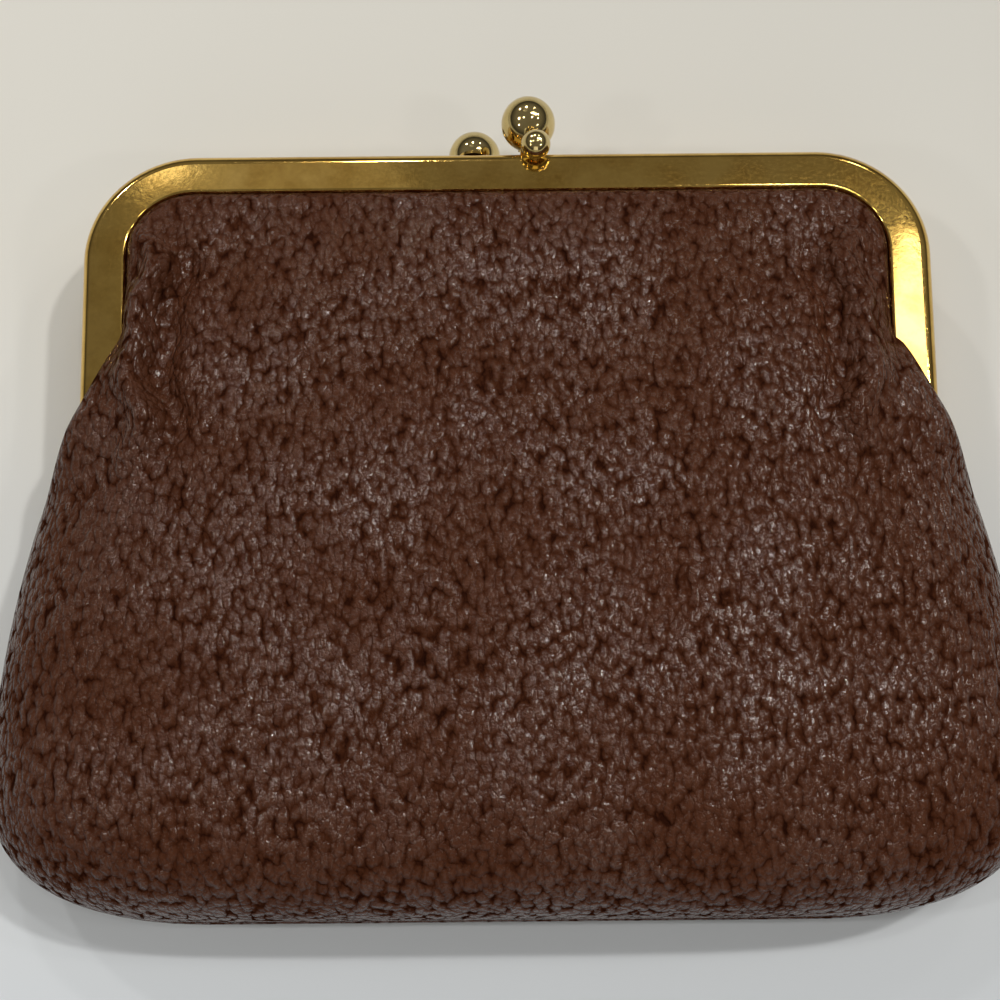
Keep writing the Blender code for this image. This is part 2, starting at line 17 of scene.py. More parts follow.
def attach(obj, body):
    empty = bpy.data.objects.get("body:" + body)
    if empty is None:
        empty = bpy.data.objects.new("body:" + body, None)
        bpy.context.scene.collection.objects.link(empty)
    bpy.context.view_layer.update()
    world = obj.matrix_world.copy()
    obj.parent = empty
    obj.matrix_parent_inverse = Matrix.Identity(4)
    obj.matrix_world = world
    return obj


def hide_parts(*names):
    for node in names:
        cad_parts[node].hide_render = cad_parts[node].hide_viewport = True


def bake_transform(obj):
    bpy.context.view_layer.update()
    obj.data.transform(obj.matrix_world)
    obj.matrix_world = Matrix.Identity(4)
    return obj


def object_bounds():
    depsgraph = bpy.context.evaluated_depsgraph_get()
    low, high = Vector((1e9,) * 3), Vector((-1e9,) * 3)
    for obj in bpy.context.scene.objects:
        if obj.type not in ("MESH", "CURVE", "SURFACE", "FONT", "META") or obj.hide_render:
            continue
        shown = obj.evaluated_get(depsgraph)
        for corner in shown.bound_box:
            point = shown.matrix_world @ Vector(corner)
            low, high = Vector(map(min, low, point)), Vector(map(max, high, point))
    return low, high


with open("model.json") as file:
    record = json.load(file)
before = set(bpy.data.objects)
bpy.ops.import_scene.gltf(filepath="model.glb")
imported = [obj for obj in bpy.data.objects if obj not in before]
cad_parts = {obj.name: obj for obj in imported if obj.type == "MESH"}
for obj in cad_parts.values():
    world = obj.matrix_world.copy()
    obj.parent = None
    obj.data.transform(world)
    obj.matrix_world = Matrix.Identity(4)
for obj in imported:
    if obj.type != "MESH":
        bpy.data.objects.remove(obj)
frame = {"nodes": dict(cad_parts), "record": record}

LOG = logging.getLogger("coin_purse")
Span = tuple[float, float]
MM = 0.001
MERGE = 1e-6
# Length of one band of a Wave texture at scale 1.
WAVE_BAND = 0.314
JOINT = frame["record"]["behaviour"]["joints"][0]
CAD_BOX = [list(corner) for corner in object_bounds()]
ORIGIN_UP = -CAD_BOX[0][1]
HINGE_UP = JOINT["pos_m"][1] + ORIGIN_UP
MID_HEIGHT = JOINT["pos_m"][2]


class Body(Enum):
    """The two halves that the hinge joins."""

    REAR = "rear_half"
    FRONT = "front_half"


class Side(Enum):
    """Which way a piece faces from the closing plane."""

    FRONT = 1
    REAR = -1


class Slot(Enum):
    """Material slots of the record."""

    BRASS = "polished_brass"
    LEATHER = "pebbled_leather"
    LINING = "lining_fabric"


def place(x: float, up: float, out: float) -> Vector:
    """Finds a point in the row frame.

    Args:
        x: distance right of the purse's middle.
        up: height over the bottom seam.
        out: distance in front of the closing plane.

    Returns:
        The point.
    """
    return Vector((x, up - ORIGIN_UP, MID_HEIGHT + out))


def ease(value: float, start: float, end: float) -> float:
    """Eases from 0 at start to 1 at end.

    Args:
        value: where to read the ease.
        start: value that gives 0.
        end: value that gives 1.

    Returns:
        The eased share.
    """
    share = min(1.0, max(0.0, (value - start) / (end - start)))
    return share * share * (3 - 2 * share)


def hump(value: float, middle: float, width: float) -> float:
    """Returns a smooth hump of height 1 at the middle."""
    return math.exp(-(((value - middle) / width) ** 2))


def arc(centre: tuple[float, float], radius: float, start: float, end: float, steps: int) -> list[tuple[float, float]]:
    """Lists points on an arc.

    Args:
        centre: the arc's centre.
        radius: its radius.
        start: first angle in degrees.
        end: last angle in degrees.
        steps: number of stretches.

    Returns:
        The points, first and last included.
    """
    points = []
    for step in range(steps + 1):
        angle = math.radians(start + (end - start) * step / steps)
        points.append((centre[0] + radius * math.cos(angle), centre[1] + radius * math.sin(angle)))
    return points


def linear(code: str) -> tuple[float, float, float, float]:
    """Turns an sRGB hex value to linear colour.

    Args:
        code: six hex digits.

    Returns:
        Linear red, green, blue and an alpha of 1.
    """
    values = [int(code[start:start + 2], 16) / 255 for start in (0, 2, 4)]
    red, green, blue = (v / 12.92 if v <= 0.04045 else ((v + 0.055) / 1.055) ** 2.4 for v in values)
    return (red, green, blue, 1.0)


def add_node(tree: NodeTree, kind: str, inputs: dict[Any, Any] | None = None,
             stops: Sequence[tuple[float, str]] = (), **settings: Any) -> Node:
    """Adds a shader node with its settings and links.

    Args:
        tree: the node tree.
        kind: the node's type.
        inputs: socket name or number to a value, or to the socket that feeds it.
        stops: places and sRGB hex values on a colour ramp, lowest first.
        settings: attributes of the node.

    Returns:
        The node.
    """
    node = tree.nodes.new(kind)
    for key, value in settings.items():
        setattr(node, key, value)
    for key, value in (inputs or {}).items():
        if isinstance(value, NodeSocket):
            tree.links.new(value, node.inputs[key])
        else:
            node.inputs[key].default_value = value
    if stops:
        while len(node.color_ramp.elements) < len(stops):
            node.color_ramp.elements.new(1.0)
        for element, (position, code) in zip(node.color_ramp.elements, stops):
            element.position = position
            element.color = linear(code)
    return node


def new_material(name: str) -> tuple[Material, NodeTree, Node]:
    """Starts a material.

    Args:
        name: the material's name.

    Returns:
        The material, its tree and its Principled shader.
    """
    material = bpy.data.materials.new(name)
    material.use_nodes = True
    tree = material.node_tree
    return material, tree, tree.nodes["Principled BSDF"]


@dataclass(frozen=True)
class GrainedLeather:
    """Drum-tumbled cowhide with an aniline dye and a light glaze: fine pebbles, short wrinkles, small bright flecks,
    creases painted darker as shade.
    """

    name: str = "tumbled_cowhide_brown"
    pebble: float = 0.68 * MM
    wrinkle: float = 1.2 * MM
    pore: float = 0.28 * MM
    patch: float = 13.0 * MM
    stretch: float = 0.65
    drift: float = 1.3
    dome_fall: float = 1.55
    wrinkle_share: float = 0.8
    pore_share: float = 0.5
    patch_share: float = 0.2
    shade_and_dye_span: Span = (0.4, 1.8)
    # Painted shade in the creases, the base tone, and pebble tops painted a little lighter as painted light.
    crease: str = "29120A"
    base: str = "402214"
    ridge: str = "4E2C1B"
    relief: float = 0.19 * MM
    roughness: float = 0.15
    gloss: float = 0.42
    glazed: Span = (0.8, 1.75)

    def build(self) -> Material:
        """Builds the leather material: creases are painted darker as shade and get no glaze, pebble tops are painted a
        little lighter and shine.
        """
        material, tree, shader = new_material(self.name)
        where = add_node(tree, "ShaderNodeTexCoord").outputs["Object"]
        drawn = add_node(tree, "ShaderNodeVectorMath", {0: where, 1: (1.0, self.stretch, 1.0)},
                         operation="MULTIPLY").outputs[0]
        drift = add_node(tree, "ShaderNodeTexNoise", {"Vector": drawn, "Scale": 0.7 / self.pebble, "Detail": 2.0})
        # The noise bends the cells, so that no pebble is a plain polygon.
        bent = add_node(tree, "ShaderNodeVectorMath",
                        {0: drift.outputs["Color"], 1: (self.drift * self.pebble,) * 3, 2: drawn},
                        operation="MULTIPLY_ADD").outputs[0]
        pebbles = add_node(tree, "ShaderNodeTexVoronoi", {"Vector": bent, "Scale": 1 / self.pebble}, feature="F1")
        reach = pebbles.outputs["Distance"]
        square = add_node(tree, "ShaderNodeMath", {0: reach, 1: reach}, operation="MULTIPLY").outputs[0]
        dome = add_node(tree, "ShaderNodeMath", {0: square, 1: -self.dome_fall, 2: 1.0},
                        operation="MULTIPLY_ADD").outputs[0]
        wrinkles, pores, patches = (
            add_node(tree, "ShaderNodeTexNoise", {"Vector": at, "Scale": 1 / size, "Detail": detail}).outputs["Fac"]
            for at, size, detail in ((bent, self.wrinkle, 2.0), (where, self.pore, 1.5), (where, self.patch, 3.0)))
        layers = [dome]
        for grain, part in ((wrinkles, self.wrinkle_share), (pores, self.pore_share), (patches, self.patch_share)):
            layers.append(add_node(tree, "ShaderNodeMath", {0: grain, 1: part, 2: layers[-1]},
                                   operation="MULTIPLY_ADD").outputs[0])
        height, tone = layers[-2:]
        # Painted shade and light: the colour follows the grain's height, darkest in the creases and a little lighter on
        # the pebble tops; the patches add real unevenness in the dye.
        share = add_node(tree, "ShaderNodeMapRange",
                         {"Value": tone, "From Min": self.shade_and_dye_span[0], "From Max": self.shade_and_dye_span[1]}).outputs[0]
        colour = add_node(tree, "ShaderNodeValToRGB", {"Fac": share},
                          [(0.0, self.crease), (0.4, self.base), (1.0, self.ridge)])
        tree.links.new(colour.outputs["Color"], shader.inputs["Base Color"])
        sheen = add_node(tree, "ShaderNodeMapRange",
                         {"Value": pores, "From Min": 0.3, "From Max": 0.7,
                          "To Min": self.roughness - 0.07, "To Max": self.roughness + 0.1})
        tree.links.new(sheen.outputs[0], shader.inputs["Roughness"])
        coat = add_node(tree, "ShaderNodeMapRange",
                        {"Value": patches, "From Min": 0.38, "From Max": 0.62,
                         "To Min": 0.6 * self.gloss, "To Max": 1.7 * self.gloss}).outputs[0]
        glaze = add_node(tree, "ShaderNodeMapRange",
                         {"Value": height, "From Min": self.glazed[0], "From Max": self.glazed[1], "To Max": coat})
        tree.links.new(glaze.outputs[0], shader.inputs["Specular IOR Level"])
        bump = add_node(tree, "ShaderNodeBump", {"Height": height, "Distance": self.relief, "Strength": 1.0})
        tree.links.new(bump.outputs[0], shader.inputs["Normal"])
        return material


@dataclass(frozen=True)
class PolishedBrass:
    """Pressed brass strip, gilt and polished: clear reflections, fine rub marks, warm tarnish in patches."""

    name: str = "polished_gilt_brass"
    bright: str = "E6C06C"
    dull: str = "BC9448"
    patch: float = 5.0 * MM
    rub: float = 0.35 * MM
    relief: float = 0.05 * MM
    roughness: float = 0.08

    def build(self) -> Material:
        """Builds the brass material."""
        material, tree, shader = new_material(self.name)
        where = add_node(tree, "ShaderNodeTexCoord").outputs["Object"]
        stain = add_node(tree, "ShaderNodeTexNoise",
                         {"Vector": where, "Scale": 1 / self.patch, "Detail": 5.0, "Roughness": 0.65}).outputs["Fac"]
        rubs = add_node(tree, "ShaderNodeTexNoise",
                        {"Vector": where, "Scale": 1 / self.rub, "Detail": 2.0}).outputs["Fac"]
        colour = add_node(tree, "ShaderNodeValToRGB", {"Fac": stain}, [(0.38, self.bright), (0.72, self.dull)])
        tree.links.new(colour.outputs["Color"], shader.inputs["Base Color"])
        mixed = add_node(tree, "ShaderNodeMath", {0: stain, 1: rubs}, operation="MULTIPLY").outputs[0]
        dulled = add_node(tree, "ShaderNodeMapRange",
                          {"Value": mixed, "From Min": 0.1, "From Max": 0.5,
                           "To Min": self.roughness - 0.04, "To Max": self.roughness + 0.1})
        tree.links.new(dulled.outputs[0], shader.inputs["Roughness"])
        bump = add_node(tree, "ShaderNodeBump", {"Height": stain, "Distance": self.relief, "Strength": 0.35})
        tree.links.new(bump.outputs[0], shader.inputs["Normal"])
        shader.inputs["Metallic"].default_value = 1.0
        return material


@dataclass(frozen=True)
class WovenLining:
    """Plain-woven rayon lining with a tan dye: crossing threads, drawn about twice as coarse as real, and a soft sheen.
    """

    name: str = "woven_rayon_tan"
    thread: float = 0.5 * MM
    relief: float = 0.08 * MM
    dark: str = "6A4A37"
    light: str = "866448"

    def build(self) -> Material:
        """Builds the lining material."""
        material, tree, shader = new_material(self.name)
        where = add_node(tree, "ShaderNodeTexCoord").outputs["Object"]
        run = {"Vector": where, "Scale": WAVE_BAND / self.thread, "Distortion": 0.2, "Detail": 1.0}
        across, along = (add_node(tree, "ShaderNodeTexWave", run, bands_direction=way).outputs["Fac"] for way in "XY")
        weave = add_node(tree, "ShaderNodeMath", {0: across, 1: along}, operation="MAXIMUM").outputs[0]
        colour = add_node(tree, "ShaderNodeValToRGB", {"Fac": weave}, [(0.2, self.dark), (0.95, self.light)])
        tree.links.new(colour.outputs["Color"], shader.inputs["Base Color"])
        bump = add_node(tree, "ShaderNodeBump", {"Height": weave, "Distance": self.relief, "Strength": 0.7})
        tree.links.new(bump.outputs[0], shader.inputs["Normal"])
        shader.inputs["Roughness"].default_value = 0.7
        shader.inputs["Sheen Weight"].default_value = 0.25
        return material


@dataclass(frozen=True)
class PaperCord:
    """Twisted kraft paper: buff, dry, with slanting twist lines."""

    name: str = "twisted_kraft_paper"
    twist: float = 0.8 * MM
    dark: str = "9A8462"
    light: str = "C9B48E"

    def build(self) -> Material:
        """Builds the paper material."""
        material, tree, shader = new_material(self.name)
        where = add_node(tree, "ShaderNodeTexCoord").outputs["Object"]
        lines = add_node(tree, "ShaderNodeTexWave",
                         {"Vector": where, "Scale": WAVE_BAND / self.twist, "Distortion": 1.5},
                         bands_direction="DIAGONAL").outputs["Fac"]
        colour = add_node(tree, "ShaderNodeValToRGB", {"Fac": lines}, [(0.1, self.dark), (0.9, self.light)])
        tree.links.new(colour.outputs["Color"], shader.inputs["Base Color"])
        shader.inputs["Roughness"].default_value = 0.9
        return material


@dataclass(frozen=True)
class TableTop:
    """Painted board: off-white with a low sheen; its colour carries painted light, cooler toward the near side, warmer
    toward the far side and darker toward the right.
    """

    name: str = "painted_board_off_white"
    near: str = "D6DDE6"
    far: str = "D9D8D3"
    near_y: float = -60.0 * MM
    far_y: float = 30.0 * MM
    side_x: float = 60.0 * MM
    light_falloff: float = 0.08

    def build(self) -> Material:
        """Builds the table material."""
        material, tree, shader = new_material(self.name)
        where = add_node(tree, "ShaderNodeTexCoord").outputs["Object"]
        axes = add_node(tree, "ShaderNodeSeparateXYZ", {"Vector": where}).outputs
        # Painted light: the board's tint turns cooler toward the near side and warmer toward the far side.
        share = add_node(tree, "ShaderNodeMapRange",
                         {"Value": axes["Y"], "From Min": self.near_y, "From Max": self.far_y}).outputs[0]
        colour = add_node(tree, "ShaderNodeValToRGB", {"Fac": share}, [(0.0, self.near), (1.0, self.far)])
        # Painted light falloff: the colour is scaled brighter at the left and darker at the right.
        falloff_scale = add_node(tree, "ShaderNodeMapRange",
                        {"Value": axes["X"], "From Min": -self.side_x, "From Max": self.side_x,
                         "To Min": 1 + self.light_falloff, "To Max": 1 - self.light_falloff}).outputs[0]
        falloff_colour = add_node(tree, "ShaderNodeVectorMath", {0: colour.outputs["Color"], "Scale": falloff_scale}, operation="SCALE")
        tree.links.new(falloff_colour.outputs[0], shader.inputs["Base Color"])
        shader.inputs["Roughness"].default_value = 0.55
        return material


def clear_selection() -> None:
    """Leaves edit mode and deselects everything."""
    if bpy.context.object and bpy.context.object.mode != "OBJECT":
        bpy.ops.object.mode_set(mode="OBJECT")
    bpy.ops.object.select_all(action="DESELECT")


def make_active(obj: Object) -> None:
    """Selects one object alone."""
    clear_selection()
    obj.select_set(True)
    bpy.context.view_layer.objects.active = obj


def ring_object(name: str, points: Sequence[Vector], fill: bool = False) -> Object:
    """Adds a circle and moves its corners onto a closed outline.

    Args:
        name: the object's name.
        points: the outline's corners in order.
        fill: whether a face fills the outline.

    Returns:
        The object, at the origin.
    """
    clear_selection()
    bpy.ops.mesh.primitive_circle_add(vertices=len(points), radius=MM, fill_type="NGON" if fill else "NOTHING")
    obj = bpy.context.object
    obj.name = name
    obj.data.name = name
    for vertex, point in zip(obj.data.vertices, points):
        vertex.co = point
    return obj


def edit(obj: Object) -> None:
    """Opens an object in edit mode with all of it selected."""
    make_active(obj)
    bpy.ops.object.mode_set(mode="EDIT")
    bpy.ops.mesh.select_mode(type="VERT")
    bpy.ops.mesh.select_all(action="SELECT")


def close_mesh(obj: Object, angle: float = 40.0) -> None:
    """Merges doubles, turns the faces outwards and shades the object.

    Args:
        obj: the object, in edit or object mode.
        angle: edges sharper than this many degrees stay crisp.
    """
    edit(obj)
    bpy.ops.mesh.remove_doubles(threshold=MERGE)
    bpy.ops.mesh.normals_make_consistent(inside=False)
    make_active(obj)
    bpy.ops.object.shade_smooth_by_angle(angle=math.radians(angle))


def apply_modifier(obj: Object, kind: str, **settings: Any) -> None:
    """Adds a modifier, sets it and applies it.

    Args:
        obj: the object.
        kind: the modifier's type.
        settings: its attributes.
    """
    make_active(obj)
    modifier = obj.modifiers.new(kind.lower(), kind)
    for key, value in settings.items():
        setattr(modifier, key, value)
    bpy.ops.object.modifier_apply(modifier=modifier.name)


def join(target: Object, *others: Object) -> Object:
    """Joins other objects into one.

    Args:
        target: the object that stays.
        others: objects that go into it.

    Returns:
        The target.
    """
    make_active(target)
    for other in others:
        other.select_set(True)
    bpy.ops.object.join()
    return target


def turned(name: str, profile: Sequence[tuple[float, float]], foot: Vector, direction: Vector,
           steps: int = 48) -> Object:
    """Turns a profile about an axis.

    Args:
        name: the object's name.
        profile: radius and height along the axis, closed through the axis.
        foot: where height 0 lies.
        direction: the axis.
        steps: facets round the axis.

    Returns:
        The turned object, at the origin.
    """
    turn = direction.to_track_quat("Z", "Y").to_matrix().to_4x4()
    stand = Matrix.Translation(foot) @ turn
    obj = ring_object(name, [Vector((radius, 0.0, height)) for radius, height in profile])
    edit(obj)
    bpy.ops.mesh.spin(steps=steps, angle=2 * math.pi, center=(0.0, 0.0, 0.0), axis=(0.0, 0.0, 1.0))
    bpy.ops.object.mode_set(mode="OBJECT")
    obj.data.transform(stand)
    close_mesh(obj)
    return obj


def new_curve(name: str) -> Object:
    """Adds a curve of two points and names it."""
    clear_selection()
    bpy.ops.curve.primitive_bezier_curve_add()
    obj = bpy.context.object
    obj.name = name
    return obj


def round_bar(obj: Object, radius: float, rounding: int) -> Object:
    """Turns a curve to a closed round bar.

    Args:
        obj: the curve, active.
        radius: the bar's radius.
        rounding: how finely it is rounded.

    Returns:
        The bar.
    """
    obj.data.bevel_depth = radius
    obj.data.bevel_resolution = rounding
    obj.data.use_fill_caps = True
    bpy.ops.object.convert(target="MESH")
    bar = bpy.context.object
    close_mesh(bar)
    return bar


def dress(obj: Object, material: Material) -> Object:
    """Gives a piece its material.

    Args:
        obj: the piece.
        material: what it is made of.

    Returns:
        The piece.
    """
    obj.data.materials.clear()
    obj.data.materials.append(material)
    return obj


def settle(obj: Object, body: Body, *nodes: str) -> None:
    """Rides a finished piece on a body in place of CAD nodes and reports it.

    Args:
        obj: the piece.
        body: the body that carries it.
        nodes: CAD nodes that it stands for.
    """
    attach(obj, body.value)
    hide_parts(*nodes)
    LOG.info("%s rides on %s", obj.name, body.value)


@dataclass(frozen=True)
class FrameSizes:
    """Sizes of the channel frame, shared by the metal and by the leather that it grips."""

    half_width: float = 42.5 * MM
    top: float = 75.0 * MM
    corner: float = 11.0 * MM
    depth: float = 4.8 * MM
    face: float = 4.4 * MM
    flange: float = 3.2 * MM
    wall: float = 0.6 * MM
    mate: float = 0.2 * MM
    shoulder: float = 1.3 * MM
    toe_in: float = 0.8 * MM
    ear_radius: float = 2.4 * MM
    ear_thickness: float = 0.7 * MM
    ear_inset: float = 0.05 * MM
    ear_gap: float = 0.35 * MM
    gap: float = 0.3 * MM

    @property
    def face_out(self) -> float:
        """Distance of the outer face from the closing plane."""
        return self.mate + self.depth

    @property
    def leather_out(self) -> float:
        """Distance of the leather's outside from the closing plane, inside the channel."""
        return self.face_out - self.wall - self.gap

    @property
    def corner_up(self) -> float:
        """Height where the legs meet the rounded corners."""
        return self.top - self.corner

    @property
    def leg_end(self) -> float:
        """Height where the channel ends and the hinge ears go on."""
        return HINGE_UP + self.ear_radius + self.gap

    def leg_x(self, up: float) -> float:
        """Returns the outer half-width at a height on the legs."""
        fall = (self.corner_up - up) / (self.corner_up - self.leg_end)
        return self.half_width - self.toe_in * max(0.0, fall)

    def lip_distance(self, x: float, up: float) -> float:
        """Measures how far a point lies inside the frame's inner lip.

        Args:
            x: distance from the middle.
            up: height over the bottom seam.

        Returns:
            The distance, below zero under the metal.
        """
        side = self.half_width - self.corner
        if up > self.corner_up and abs(x) > side:
            return self.corner - self.face - math.hypot(abs(x) - side, up - self.corner_up)
        below = self.top - self.face - up
        return min(below, self.leg_x(max(up, self.leg_end)) - self.face - abs(x))


@dataclass
class FrameHalf:
    """One half of the brass channel frame with its two hinge ears."""

    sizes: FrameSizes
    side: Side
    brass: Material
    arc_steps: int = 20
    ear_sweep: float = -285.0
    ear_steps: int = 40
    ear_bevel: float = 0.12 * MM
    crisp: float = 35.0

    def section(self) -> list[Vector]:
        """Lists the channel's section at the middle of the top rail."""
        s = self.sizes
        lip = s.wall / 2
        points = arc((s.face - lip, s.face_out - lip), lip, -90.0, 90.0, 8)
        points += arc((s.shoulder, s.face_out - s.shoulder), s.shoulder, 90.0, 180.0, 10)
        points += arc((lip, s.mate + lip), lip, 180.0, 270.0, 4)
        points += arc((s.flange - lip, s.mate + lip), lip, -90.0, 90.0, 4)
        points.append((s.wall, s.mate + s.wall))
        points += arc((s.shoulder, s.face_out - s.shoulder), s.shoulder - s.wall, 180.0, 90.0, 5)
        return [place(0.0, s.top - depth, self.side.value * out) for depth, out in points]

    def ear(self, hand: int, depth: float) -> Object:
        """Builds one hinge ear.

        Args:
            hand: 1 for the right leg, -1 for the left.
            depth: how far inside the leg's outer edge it stands.

        Returns:
            The ear.
        """
        s = self.sizes
        near = 2 * s.mate + s.wall
        far = s.face_out - s.shoulder if depth <= s.ear_inset else s.face_out - s.wall / 2
        outline = [(near, s.leg_end + s.ear_radius), (far, s.leg_end + s.ear_radius), (far, s.leg_end)]
        outline += [(out, HINGE_UP + up) for out, up in
                    arc((0.0, 0.0), s.ear_radius, 0.0, self.ear_sweep, self.ear_steps)]
        start = hand * (s.leg_x(s.leg_end) - depth)
        points = [place(start, up, self.side.value * out) for out, up in outline]
        obj = ring_object("ear", points, fill=True)
        edit(obj)
        bpy.ops.mesh.extrude_region_move(TRANSFORM_OT_translate={"value": (-hand * s.ear_thickness, 0.0, 0.0)})
        close_mesh(obj)
        apply_modifier(obj, "BEVEL", width=self.ear_bevel, segments=2, limit_method="ANGLE")
        return obj

    def build(self, body: Body, ear_depth: float) -> None:
        """Sweeps the channel round the U, mirrors it and joins the ears on.

        Args:
            body: the body that carries it.
            ear_depth: how far inside the outer edge the ears stand.
        """
        s = self.sizes
        name = f"{self.side.name.lower()}_channel_frame"
        obj = ring_object(name, self.section())
        edit(obj)
        straight = s.half_width - s.corner
        bpy.ops.mesh.extrude_region_move(TRANSFORM_OT_translate={"value": (straight, 0.0, 0.0)})
        lean = math.atan2(s.toe_in, s.corner_up - s.leg_end)
        turn = math.pi / 2 + lean
        centre = place(straight, s.corner_up, 0.0)
        bpy.ops.mesh.spin(steps=self.arc_steps, angle=turn, center=centre, axis=(0.0, 0.0, 1.0))
        length = (s.corner_up - s.leg_end) / math.cos(lean)
        along = (-math.sin(lean) * length, -math.cos(lean) * length, 0.0)
        bpy.ops.mesh.extrude_region_move(TRANSFORM_OT_translate={"value": along})
        bpy.ops.mesh.edge_face_add()
        apply_modifier(obj, "MIRROR", use_axis=(True, False, False), merge_threshold=MERGE)
        close_mesh(obj, self.crisp)
        apply_modifier(obj, "WEIGHTED_NORMAL", keep_sharp=True)
        ears = [self.ear(hand, ear_depth) for hand in (-1, 1)]
        join(obj, *ears)
        dress(obj, self.brass)
        settle(obj, body, f"{self.side.name.lower()}_frame")


@dataclass
class Hinge:
    """The two rivets that the halves turn on."""

    sizes: FrameSizes
    brass: Material
    shank: float = 1.0 * MM
    head: float = 1.8 * MM
    head_height: float = 0.6 * MM
    tail_taper: float = 0.85
    dome_steps: int = 6

    def build(self) -> None:
        """Turns a headed rivet for each leg."""
        s = self.sizes
        outside = s.ear_gap
        inside = 2 * s.ear_thickness + 2 * s.ear_gap + s.ear_inset
        dome = [(self.head * across, outside + self.head_height * rise)
                for across, rise in arc((0.0, 0.0), 1.0, 90.0, 0.0, self.dome_steps)]
        tail = [(self.shank, outside), (self.shank, -inside), (self.head, -inside),
                (self.head * self.tail_taper, -inside - self.head_height), (0.0, -inside - self.head_height)]
        for hand, label in ((-1, "left"), (1, "right")):
            foot = place(hand * s.leg_x(s.leg_end), HINGE_UP, 0.0)
            rivet = turned(f"{label}_rivet", dome + tail, foot, Vector((hand, 0.0, 0.0)))
            dress(rivet, self.brass)
            settle(rivet, Body.REAR, f"{label}_hinge_rivet")


@dataclass
class Clasp:
    """Two balls on leaning arms that snap past each other, and the stop bead on the front shoulder."""

    sizes: FrameSizes
    brass: Material
    gilt: Material
    middle: float = -0.5 * MM
    ball: float = 2.8 * MM
    ball_side: float = 2.85 * MM
    ball_lean: float = 3.4 * MM
    ball_rise: float = 3.9 * MM
    arm: float = 0.85 * MM
    collar: float = 1.5 * MM
    collar_height: float = 0.5 * MM
    collar_top: float = 0.8
    collar_side: float = 0.6
    bend_rise: float = 0.28
    bend_lean: float = 0.45
    bend_pull: float = 0.66
    socket: float = 1.25
    socket_fit: float = 1.02
    socket_rim: float = 0.18 * MM
    socket_crest: float = 0.22 * MM
    socket_depth: float = 0.6 * MM
    ball_steps: int = 32
    bead: float = 1.5 * MM
    bead_side: float = 0.65 * MM
    bead_angle: float = math.radians(65.0)
    bead_reach: float = 1.02
    bead_wrap: float = 155.0
    bead_foot: float = 0.88
    bead_steps: int = 24
    neck: float = 0.5 * MM
    neck_foot: float = 0.5 * MM

    def ball_x(self, side: Side) -> float:
        """Returns how far right of the middle an arm and its ball stand."""
        return self.middle + side.value * self.ball_side

    def ball_centre(self, side: Side) -> Vector:
        """Returns the centre of the ball that leans to a side."""
        return place(self.ball_x(side), self.sizes.top + self.ball_rise, side.value * self.ball_lean)

    def bend(self, side: Side) -> Vector:
        """Returns the corner that an arm rounds on its way to the ball."""
        up = self.sizes.top + self.bend_rise * self.ball_rise
        return place(self.ball_x(side), up, side.value * self.bend_lean * self.ball_lean)

    def arm_object(self, label: str, side: Side) -> Object:
        """Bends a round arm from its collar on the top rail to the ball.

        Args:
            label: the half's name.
            side: the way the arm leans.

        Returns:
            The arm with its collar.
        """
        s = self.sizes
        start = place(self.ball_x(side), s.top + s.gap, -side.value * s.face_out / 2)
        end = self.ball_centre(side)
        bend = self.bend(side)
        obj = new_curve(f"{label}_arm")
        obj.data.resolution_u = 20
        first, last = obj.data.splines[0].bezier_points
        for point, here, before, after in ((first, start, start * 2 - bend, start.lerp(bend, self.bend_pull)),
                                           (last, end, end.lerp(bend, self.bend_pull), end * 2 - bend)):
            point.handle_left_type = "FREE"
            point.handle_right_type = "FREE"
            point.co = here
            point.handle_left = before
            point.handle_right = after
        arm = round_bar(obj, self.arm, 8)
        edge, height = self.collar, self.collar_height
        ring = [(0.0, height), (edge * self.collar_top, height), (edge, height * self.collar_side),
                (edge, 0.0), (0.0, 0.0)]
        foot = turned("collar", ring, start, Vector((0.0, 1.0, 0.0)))
        return join(arm, foot)

    def ball_object(self, label: str, side: Side) -> Object:
        """Turns a ball with a small socket ring where the arm goes in.

        Args:
            label: the half's name.
            side: the way the arm leans.

        Returns:
            The ball.
        """
        centre = self.ball_centre(side)
        arrives = (self.bend(side) - centre).normalized()
        open_angle = math.asin(self.arm * self.socket / self.ball)
        profile = arc((0.0, 0.0), self.ball, -90.0, 90.0 - math.degrees(open_angle), self.ball_steps)
        edge, rim = profile[-1]
        bore = self.arm * self.socket_fit
        profile += [(edge, rim + self.socket_rim), (bore, rim + self.socket_crest),
                    (bore, rim - self.socket_depth), (0.0, rim - self.socket_depth)]
        return turned(f"{label}_ball", profile, centre, arrives, 64)

    def bead_object(self) -> Object:
        """Turns the stop bead on a neck that ends inside the shoulder."""
        s = self.sizes
        axis = Vector((0.0, math.cos(self.bead_angle), math.sin(self.bead_angle)))
        root = place(self.ball_x(Side.FRONT) + self.bead_side, s.top - s.shoulder, s.face_out - s.shoulder)
        reach = s.shoulder + self.bead_reach * self.bead
        profile = arc((0.0, reach), self.bead, 90.0, 90.0 - self.bead_wrap, self.bead_steps)
        profile += [(self.neck, reach - self.bead_foot * self.bead), (self.neck, self.neck_foot), (0.0, self.neck_foot)]
        return turned("stop_bead", profile, root, axis)

    def build(self) -> None:
        """Builds both arms, both balls and the bead."""
        for label, side, body in (("rear", Side.FRONT, Body.REAR), ("front", Side.REAR, Body.FRONT)):
            arm = dress(self.arm_object(label, side), self.brass)
            settle(arm, body, f"{label}_clasp_arm")
            ball = dress(self.ball_object(label, side), self.gilt)
            settle(ball, body, f"{label}_clasp_ball")
        bead = dress(self.bead_object(), self.gilt)
        settle(bead, Body.FRONT, "front_stop_bead")


@dataclass(frozen=True)
class Gather:
    """One flank's gather: where its crease runs, how deep it is and how high the lobe outside it stands."""

    crease_x: float
    depth: float
    lobe: float


